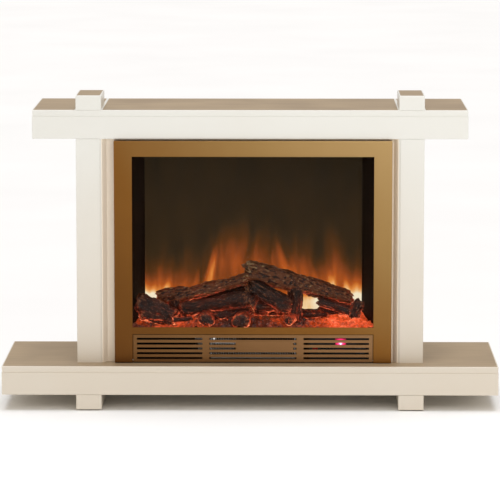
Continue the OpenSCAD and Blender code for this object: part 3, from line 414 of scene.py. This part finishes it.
# %% Tongues
TONGUES = [
    ((-112, 95), (-88, 215), 20, 0.26), ((-98, 120), (-86, 200), 12, 0.16), ((-150, 60), (-128, 150), 16, 0.12),
    ((84, 110), (50, 228), 24, 0.24), ((104, 90), (88, 190), 22, 0.10), ((160, 70), (138, 165), 20, 0.14),
    ((205, 40), (180, 150), 24, 0.28), ((236, 25), (222, 135), 22, 0.30), ((-228, 40), (-196, 130), 24, 0.26),
    ((-250, 40), (-240, 115), 18, 0.16), ((-40, 120), (-30, 205), 30, 0.08), ((10, 120), (8, 215), 34, 0.08),
    ((-182, 60), (-160, 120), 20, 0.12), ((125, 120), (120, 180), 26, 0.08),
    ((-72, 150), (-66, 290), 56, 0.11), ((200, 120), (186, 285), 62, 0.12), ((228, 90), (222, 230), 36, 0.05),
]
print("tongues", len(TONGUES), "the tallest", max(tongue[1][1] for tongue in TONGUES), "mm")

# %% [markdown]
# The smoked acrylic itself is nearly black and barely glossy. All that is seen on it is light, so the
# picture goes to its emission: first the haze and the licks, then the ends, the bright foot of the fire
# and the tongues.

# %% Flame screen
acrylic, tree, bsdf, coords = start("smoked_acrylic_flame_screen", Roughness=0.6, IOR=1.49,
                                    Emission_Strength=1.0, Specular_IOR_Level=0.08)
bsdf.inputs["Base Color"].default_value = linear("#0c0906")
centred = add(tree, "Mapping", {"Vector": coords, "Location": (-middle_x, 0, -bed_low.z)})
place = add(tree, "SeparateXYZ", {"Vector": centred})
across, height = place.outputs["X"], place.outputs["Z"]
drawn_up = add(tree, "Mapping", {"Vector": centred, "Scale": (1.0, 0.0, 0.20)})
licks = add(tree, "TexNoise", {"Vector": drawn_up, "Scale": 1 / (30 * MM), "Detail": 3.0, "Roughness": 0.5,
                               "Distortion": 0.6})
swell = add(tree, "Mapping", {"Vector": centred, "Scale": (1.0, 0.0, 0.45)})
waves = add(tree, "TexNoise", {"Vector": swell, "Scale": 1 / (110 * MM), "Detail": 2.0})
ragged = add(tree, "Mix", {"Factor": 0.45, "A": licks, "B": waves}, data_type="FLOAT")

from_middle = add(tree, "Math", {0: across}, operation="ABSOLUTE")
side = add(tree, "Math", {0: from_middle, 1: half_screen}, operation="DIVIDE")
arch = add(tree, "MapRange", {"Value": side, "To Min": 0.275, "To Max": 0.170}, interpolation_type="SMOOTHSTEP")
share = add(tree, "Math", {0: height, 1: arch}, operation="DIVIDE")
haze = add(tree, "MapRange", {"Value": share, "From Min": 0.30, "To Min": 0.42, "To Max": 0.09},
           interpolation_type="SMOOTHSTEP")
high_haze = add(tree, "MapRange", {"Value": height, "From Min": 0.18, "From Max": 0.40,
                                   "To Min": 0.06, "To Max": 0.0})
fringe = add(tree, "MapRange", {"Value": share, "From Min": 0.45, "From Max": 1.15,
                                "To Min": 1.1, "To Max": 0.15})
licking = add(tree, "Math", {0: add(tree, "Math", {0: ragged, 1: 0.5}, operation="SUBTRACT"), 1: fringe},
              operation="MULTIPLY")
near_ends = add(tree, "Math", {0: side, 1: 4.0}, operation="POWER")
low_down = add(tree, "MapRange", {"Value": height, "From Min": 0.045, "From Max": 0.125,
                                  "To Min": 0.50, "To Max": 0.0}, interpolation_type="SMOOTHSTEP")
ends = add(tree, "Math", {0: near_ends, 1: low_down}, operation="MULTIPLY")
heat = add(tree, "Math", {0: haze, 1: high_haze}, operation="ADD")
lowest = add(tree, "MapRange", {"Value": height, "From Min": 48 * MM, "From Max": 82 * MM,
                                "To Min": 0.38, "To Max": 0.0}, interpolation_type="SMOOTHSTEP")
for extra in [licking, ends, lowest] + [flame_tongue(tree, across, height, *tongue) for tongue in TONGUES]:
    heat = add(tree, "Math", {0: heat, 1: extra}, operation="ADD")
WOOD_FIRE = [(0.06, "#1d160b"), (0.17, "#352511"), (0.28, "#55300f"), (0.42, "#8a431a"), (0.58, "#b9581f"),
             (0.72, "#e58c3c"), (0.86, "#f8c684"), (1.0, "#fff0cf")]
finish(tree, bsdf, glow=add(tree, "ValToRGB", {"Fac": heat}, stops=WOOD_FIRE))
clothe(acrylic, "flame_screen")
print("flame screen", round(half_screen * 2, 3), "m wide")

# %% [markdown]
# The logs are cast in ceramic fibre from real, half-burnt wood. Each starts as a cylinder on end. Its
# ends are inset and rounded, its side is cut into rings, and Displace modifiers with procedural textures
# give it bark. The trick for bark that runs along the log is to displace a short, fat log and then
# stretch it: round lumps become ridges. Two more pushes, sideways and with a much larger texture, bow
# the log. Then it is turned into its place.

# %% Helpers for modelling
def only(*things):
    """Selects these objects and nothing else, and makes the first one active."""
    bpy.ops.object.select_all(action="DESELECT")
    for thing in things:
        thing.select_set(True)
    bpy.context.view_layer.objects.active = things[0]


def settle(thing, **changes):
    """Sets an object's location, rotation or scale, and applies it to the mesh."""
    for key, value in changes.items():
        setattr(thing, key, value)
    only(thing)
    bpy.ops.object.transform_apply(location=True, rotation=True, scale=True)


def push(thing, size_mm, strength_mm, kind="CLOUDS", direction="NORMAL", middle=0.5, depth=2):
    """Displaces an object's mesh by a procedural texture, and applies it."""
    texture = bpy.data.textures.new(f"{thing.name}_{size_mm}", kind)
    texture.noise_scale = size_mm * MM
    if kind == "CLOUDS":
        texture.noise_depth = depth
    modifier = thing.modifiers.new("push", "DISPLACE")
    modifier.texture = texture
    modifier.texture_coords = "LOCAL"
    modifier.direction = direction
    modifier.strength = strength_mm * MM
    modifier.mid_level = middle
    only(thing)
    bpy.ops.object.modifier_apply(modifier=modifier.name)


def edit_faces(thing, wanted):
    """Enters edit mode with only the faces for which wanted(face) is true selected."""
    only(thing)
    bpy.ops.object.mode_set(mode="EDIT")
    bpy.ops.mesh.select_mode(type="FACE")
    bpy.ops.mesh.select_all(action="DESELECT")
    bpy.ops.object.mode_set(mode="OBJECT")
    for face in thing.data.polygons:
        face.select = wanted(face)
    bpy.ops.object.mode_set(mode="EDIT")


# %% [markdown]
# One function makes any log, from its two ends and its two radii. The seed moves the log to another part
# of the textures, so that no two logs have the same bark, and relief flattens the bark where the log's
# end is to stay a neat disc.

# %% A log
STRETCH = 2.6         # how much the bark's lumps are drawn out along the log
RING = 2.6 * MM       # rings this far apart carry the relief


def bark_log(name, start_at, end_at, radius_start, radius_end, seed, relief=1.0):
    """A half-burnt log between two places, with bark, rounded saw-cut ends and a slight bow."""
    length = (end_at - start_at).length
    short = length / STRETCH
    slim = min(radius_start, radius_end)
    bpy.ops.object.select_all(action="DESELECT")
    bpy.ops.mesh.primitive_cone_add(vertices=64, radius1=radius_start * MM, radius2=radius_end * MM,
                                    depth=short, location=(0, 0, short / 2), end_fill_type="NGON")
    log = bpy.context.object
    log.name = name
    settle(log)
    for sign in (-1, 1):
        edit_faces(log, lambda face: face.normal.z * sign > 0.9)
        for step, drop in ((0.10, 0.30), (0.14, 0.16), (0.18, 0.08)):
            bpy.ops.mesh.inset(thickness=step * slim * MM)
            bpy.ops.transform.translate(value=(0, 0, sign * drop * slim * MM / STRETCH))
        for _ in range(3):
            bpy.ops.mesh.inset(thickness=0.17 * slim * MM)
        bpy.ops.object.mode_set(mode="OBJECT")
    edit_faces(log, lambda face: True)
    rings = max(6, round(length / RING))
    for ring in range(1, rings):
        bpy.ops.mesh.select_all(action="SELECT")
        bpy.ops.mesh.bisect(plane_co=(0, 0, short * ring / rings), plane_no=(0, 0, 1))
    bpy.ops.object.mode_set(mode="OBJECT")
    settle(log, location=(0.7 * seed, 0, 0))
    big = max(radius_start, radius_end)
    push(log, 26, 0.50 * big * relief, middle=0.52, depth=1)
    push(log, 8, 0.34 * big * relief, middle=0.52)
    push(log, 5, -0.20 * big * relief, kind="VORONOI", middle=0.35)
    push(log, 90, 0.8 * big, direction="X", depth=0)
    push(log, 70, 0.8 * big, direction="Y", depth=0)
    settle(log, location=(-0.7 * seed, 0, 0))
    settle(log, scale=(1, 1, STRETCH))
    log.rotation_mode = "QUATERNION"
    settle(log, location=start_at, rotation_quaternion=(end_at - start_at).to_track_quat("Z", "Y"))
    bpy.ops.object.shade_smooth_by_angle(angle=math.radians(60))
    return log


def joined(name, pieces):
    """Joins objects into one and names it."""
    only(*pieces)
    bpy.ops.object.join()
    bpy.context.object.name = name
    return bpy.context.object


def dress(thing, material, slot, *replaced, body="surround_and_fire"):
    """Gives a new piece its material, its body and the CAD nodes that it stands for; the slot is not used."""
    thing.data.materials.clear()
    thing.data.materials.append(material)
    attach(thing, body)
    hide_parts(*replaced)
    print(thing.name, len(thing.data.polygons), "faces")


# %% [markdown]
# Charred wood is nearly black, with grey ash on its ridges and brown where bark is left. The pointiness of
# the mesh drives the colour: ridges take the ash and grooves stay black, which is partly the wood's colour
# and partly painted highlight on the ridges and painted shade in the grooves. Close to the coals the logs
# glow ember red, in patches and along a net of cracks, more on the undersides than on top, and hardly at all
# on the cut ends, which stay dark inside a glowing rim: that glow is painted light, the ember lamps' and the
# flames' light laid into the logs' emission. A satin varnish gives the small sparkles of light.

# %% Charred bark
def charred_bark(name, ash, brown, char, glow_mm, glow):
    material, tree, bsdf, coords = start(name, Roughness=0.5, IOR=1.45, Emission_Strength=glow,
                                         Specular_IOR_Level=0.3)
    patches = add(tree, "TexNoise", {"Vector": coords, "Scale": 1 / (24 * MM), "Detail": 5.0, "Roughness": 0.65,
                                     "Distortion": 0.6})
    fine = add(tree, "TexNoise", {"Vector": coords, "Scale": 1 / (4.5 * MM), "Detail": 4.0, "Roughness": 0.7})
    worn = add(tree, "Mix", {"Factor": 0.5, "A": patches, "B": fine}, data_type="FLOAT")
    point = add(tree, "NewGeometry").outputs["Pointiness"]
    # painted highlight and shade: pointiness lifts the ridges towards ash and sinks the grooves towards char
    ridge_ash_and_painted_shade = add(tree, "MapRange", {"Value": point, "From Min": 0.44, "From Max": 0.56,
                                   "To Min": -0.26, "To Max": 0.26})
    shade = add(tree, "ValToRGB", {"Fac": add(tree, "Math", {0: worn, 1: ridge_ash_and_painted_shade}, operation="ADD")},
                stops=[(0.36, char), (0.52, brown), (0.66, brown), (0.80, ash)])

    # painted light: the glow below is the red light of the ember lamps and the flames' rim light on the logs
    height = add(tree, "SeparateXYZ", {"Vector": coords}).outputs["Z"]
    near_bed = add(tree, "MapRange", {"Value": height, "From Min": bed_low.z + 12 * MM,
                                      "From Max": bed_low.z + glow_mm * MM, "To Min": 1.0, "To Max": 0.0})
    spots = add(tree, "MapRange", {"Value": patches, "From Min": 0.38, "From Max": 0.66})
    crazing = add(tree, "TexVoronoi", {"Vector": coords, "Scale": 1 / (17 * MM)}, feature="DISTANCE_TO_EDGE")
    cracks = add(tree, "MapRange", {"Value": crazing, "From Min": 0.01, "From Max": 0.10,
                                    "To Min": 0.55, "To Max": 0.0})
    painted_ember_light = add(tree, "Math", {0: spots, 1: cracks}, operation="ADD")
    painted_rim_glow = add(tree, "MapRange", {"Value": point, "From Min": 0.53, "From Max": 0.60,
                                  "To Min": 0.0, "To Max": 0.7})
    painted_ember_light = add(tree, "Math", {0: painted_ember_light, 1: painted_rim_glow}, operation="ADD")
    facing = add(tree, "SeparateXYZ", {"Vector": add(tree, "NewGeometry").outputs["Normal"]})
    underneath = add(tree, "MapRange", {"Value": facing.outputs["Z"], "From Min": -0.7, "From Max": 0.7,
                                        "To Min": 1.0, "To Max": 0.5})
    cut_end = add(tree, "MapRange", {"Value": facing.outputs["Y"], "From Min": -0.92, "From Max": -0.60,
                                     "To Min": 0.12, "To Max": 1.0})
    painted_glow_share = near_bed
    for share in (painted_ember_light, underneath, cut_end):
        painted_glow_share = add(tree, "Math", {0: painted_glow_share, 1: share}, operation="MULTIPLY")
    glow_colour = add(tree, "ValToRGB", {"Fac": painted_glow_share},
                      stops=[(0.0, "#000000"), (0.18, "#38120a"), (0.5, "#8a2c18"), (0.85, "#e0603a"),
                             (1.0, "#ffa070")])
    finish(tree, bsdf, colour=shade, height=fine, depth_mm=0.9, strength=0.8, glow=glow_colour)
    return material


log_paint = charred_bark("painted_ceramic_log_bark", "#8f7450", "#5c3216", "#140b05", 140, 1.6)
charcoal_paint = charred_bark("painted_ceramic_charred_wood", "#7a4d30", "#301508", "#0a0502", 84, 1.4)

# %% [markdown]
# The two long logs lean on stumps and on shorter logs, some of which lie with one end to the glass.
# Their places follow the CAD rods: a share of the bed's half width, then millimetres from its front
# edge and above its underside.

# %% Log set
half_bed = half_screen - 2 * MM


def on_bed(share, depth_mm, height_mm):
    return Vector((middle_x + share * half_bed, bed_low.y + depth_mm * MM, bed_low.z + height_mm * MM))


back_left = bark_log("log_back_left_bark", on_bed(-0.856, 67, 62.5), on_bed(-0.076, 45, 110.5), 20, 15, 1)
dress(back_left, log_paint, "log_ceramic", "log_back_left")
top_right = bark_log("log_top_right_bark", on_bed(-0.03, 35, 139.5), on_bed(0.894, 61, 62.5), 23, 21, 2)
dress(top_right, log_paint, "log_ceramic", "log_top_right")

SHORT_LOGS = [
    ((-0.72, 83, 41.5), (-0.09, 77, 84.5), 16, 16), ((-0.644, 55, 37.5), (-0.075, 28, 66), 17, 18),
    ((0.00, 37, 100), (0.285, 25, 50), 25, 23), ((0.02, 57, 38), (0.36, 67, 36), 20, 18),
    ((0.398, 51, 5), (0.398, 51, 92), 18, 17), ((-0.72, 63, 5), (-0.72, 63, 60), 16, 15),
    ((-1.04, 24, 62), (-0.75, 25, 22), 21, 20),
    ((-0.05, 26, 62), (0.02, 66, 92), 20, 20), ((-0.50, 60, 26), (-0.03, 62, 33), 18, 17),
    ((0.06, 66, 70), (0.24, 60, 44), 20, 20), ((-1.02, 22, 32), (-0.80, 30, 16), 18, 16),
    ((0.62, 78, 32), (0.98, 74, 38), 16, 16), ((0.42, 72, 22), (0.66, 76, 24), 14, 14),
]
FACING_LOGS = [((-0.424, 2, 22), (-0.41, 37, 26), 20, 18), ((-0.11, 2, 20), (-0.10, 37, 25), 20, 18),
               ((0.33, 2, 20), (0.38, 37, 24), 13, 12)]
short_logs = [bark_log(f"short_log_{n}", on_bed(*a), on_bed(*b), r0, r1, 3 + n)
              for n, (a, b, r0, r1) in enumerate(SHORT_LOGS)]
short_logs += [bark_log(f"facing_log_{n}", on_bed(*a), on_bed(*b), r0, r1, 30 + n, relief=0.4)
               for n, (a, b, r0, r1) in enumerate(FACING_LOGS)]
dress(joined("short_logs_and_stumps", short_logs), charcoal_paint, "log_ceramic", "logs_front")

STICKS = [((-0.72, 9, 19), (-0.565, 6, 23), 6.5, 5.5), ((0.60, 33, 57), (0.97, 29, 33), 11, 15),
          ((0.905, 24, 30), (0.985, 24, 58), 13, 14.5)]
sticks = [bark_log(f"stick_{n}", on_bed(*a), on_bed(*b), r0, r1, 20 + n)
          for n, (a, b, r0, r1) in enumerate(STICKS)]
dress(joined("charred_sticks", sticks), charcoal_paint, "log_ceramic", "twigs")

# %% [markdown]
# The bed is a moulding of coals, lit from below by red and amber lamps, so it glows where it is thin
# and stays dark where a coal is thick. A sloping grid, displaced with a cell texture, makes the bank.
# Its underside is an extrusion of its top, so that it is a closed casting.

# %% Ember bank
BANK_CELLS = (240, 44)    # about 2.3 mm each way, finer than the coals' edges
bed_size = bed_high - bed_low
bank_rise = bed_size.z - 10 * MM
bpy.ops.object.select_all(action="DESELECT")
bpy.ops.mesh.primitive_grid_add(x_subdivisions=BANK_CELLS[0], y_subdivisions=BANK_CELLS[1], size=1,
                                location=(0, 0, 0))
bank = bpy.context.object
bank.name = "glowing_ember_bed"
slope = math.atan2(bank_rise, bed_size.y)
settle(bank, scale=(bed_size.x - 6 * MM, (bed_size.y - 4 * MM) / math.cos(slope), 1),
       rotation_euler=(slope, 0, 0),
       location=((bed_low.x + bed_high.x) / 2, (bed_low.y + bed_high.y) / 2,
                 bed_low.z + 4 * MM + bank_rise / 2))
push(bank, 60, 12, direction="Z", depth=1)
push(bank, 15, -13, kind="VORONOI", direction="Z", middle=0.35)
push(bank, 6, 3, direction="Z")
edit_faces(bank, lambda face: True)
bpy.ops.mesh.extrude_region_move(TRANSFORM_OT_translate={"value": (0, 0, -3 * MM)})
bpy.ops.mesh.select_all(action="SELECT")
bpy.ops.mesh.normals_make_consistent(inside=False)
bpy.ops.object.mode_set(mode="OBJECT")
print("bank", len(bank.data.polygons), "faces, rising", round(bank_rise, 3), "m")

# %% [markdown]
# One coal is modelled, then copied with other sizes and turns, and strewn over the bank. The seed keeps
# every run the same. Near the glass the coals keep clear of the ends of the facing logs and of the stick.

# %% Coals
COALS = 150
CLEAR_OF = [-0.65, -0.42, -0.105, 0.34]    # shares of the bed's half width that stay bare in front
CLEAR_DEPTH, CLEAR_HALF = 38 * MM, 26 * MM
random.seed(7)
bpy.ops.object.select_all(action="DESELECT")
bpy.ops.mesh.primitive_ico_sphere_add(subdivisions=2, radius=7 * MM, location=(0, 0, 0))
coal = bpy.context.object
coal.name = "coal"
push(coal, 6, 6, kind="VORONOI", middle=0.4)
coals = [coal]
for _ in range(COALS):
    depth = random.uniform(7, 92) * MM
    reach = half_bed * (1.08 - 0.10 * depth / bed_size.y)
    across = random.uniform(-reach, reach)
    size = random.uniform(0.5, 1.1)
    if depth < CLEAR_DEPTH and min(abs(across - half_bed * bare) for bare in CLEAR_OF) < CLEAR_HALF:
        continue
    another = coal.copy()
    another.data = coal.data.copy()
    bpy.context.scene.collection.objects.link(another)
    settle(another, scale=(size * random.uniform(0.8, 1.4), size, size * random.uniform(0.6, 0.9)),
           rotation_euler=[random.uniform(0, math.tau) for _ in range(3)],
           location=(middle_x + across, bed_low.y + depth,
                     bed_low.z + 5 * MM + 0.8 * bank_rise * depth / bed_size.y))
    coals.append(another)
settle(coal, location=(middle_x, bed_low.y + 20 * MM, bed_low.z + 13 * MM))
embers = joined("glowing_ember_bed", [bank] + coals)
bpy.ops.object.shade_smooth_by_angle(angle=math.radians(50))
print("coals", len(coals), "with", len(embers.data.polygons), "faces in all")

# %% [markdown]
# The moulding is a translucent resin, tinted dark, with a crumbly surface. It glows from inside, so the
# colour goes to its emission: clumps and crumbs of noise, made hotter over each of the lamps below. The
# ramp runs from cold crust through ember red to a pale orange heart.

# %% Ember resin
EMBER_LAMPS = [(0.225, 0.12, 0.27), (-0.19, 0.13, 0.16), (0.07, 0.05, 0.08)]   # place, reach and strength
ember_resin, tree, bsdf, coords = start("translucent_moulded_ember_resin", Roughness=0.55, IOR=1.5,
                                        Emission_Strength=1.15)
centred = add(tree, "Mapping", {"Vector": coords, "Location": (-middle_x, 0, 0)})
across = add(tree, "SeparateXYZ", {"Vector": centred})
clumps = add(tree, "TexNoise", {"Vector": coords, "Scale": 1 / (30 * MM), "Detail": 4.0, "Roughness": 0.62,
                                "Distortion": 0.5})
crumbs = add(tree, "TexNoise", {"Vector": coords, "Scale": 1 / (7 * MM), "Detail": 4.0, "Roughness": 0.7})
hot = add(tree, "Mix", {"Factor": 0.45, "A": clumps, "B": crumbs}, data_type="FLOAT")
for lamp_x, spread, strength in EMBER_LAMPS:
    beside = add(tree, "Math", {0: across, 1: lamp_x}, operation="SUBTRACT")
    off = add(tree, "Math", {0: beside}, operation="ABSOLUTE")
    pool = add(tree, "MapRange", {"Value": off, "From Min": 0.02, "From Max": spread,
                                  "To Min": strength, "To Max": 0.0}, interpolation_type="SMOOTHSTEP")
    hot = add(tree, "Math", {0: hot, 1: pool}, operation="ADD")
EMBERS = [(0.42, "#140705"), (0.53, "#40160a"), (0.61, "#78280e"), (0.70, "#b84018"), (0.79, "#f4582e"),
          (0.94, "#ffa070")]
glow_colour = add(tree, "ValToRGB", {"Fac": hot}, stops=EMBERS)
crust = add(tree, "ValToRGB", {"Fac": crumbs}, stops=[(0.35, "#1a0f0b"), (0.65, "#4a2a1e")])
finish(tree, bsdf, colour=crust, height=crumbs, depth_mm=1.2, strength=0.8, glow=glow_colour)
dress(embers, ember_resin, "ember_resin", "ember_bed")

# %% [markdown]
# The floor is matt paint. A noise nearly a metre across keeps it from being one flat tone.

# %% Floor paint
floor_paint, tree, bsdf, coords = start("pale_studio_floor", Roughness=0.8)
tone = add(tree, "TexNoise", {"Vector": coords, "Scale": 1 / (900 * MM)})
finish(tree, bsdf, colour=add(tree, "ValToRGB", {"Fac": tone}, stops=[(0.3, "#f6f6f5"), (0.7, "#fafaf9")]))
floor.data.materials.append(floor_paint)
print("floor painted, noise of 900 mm")
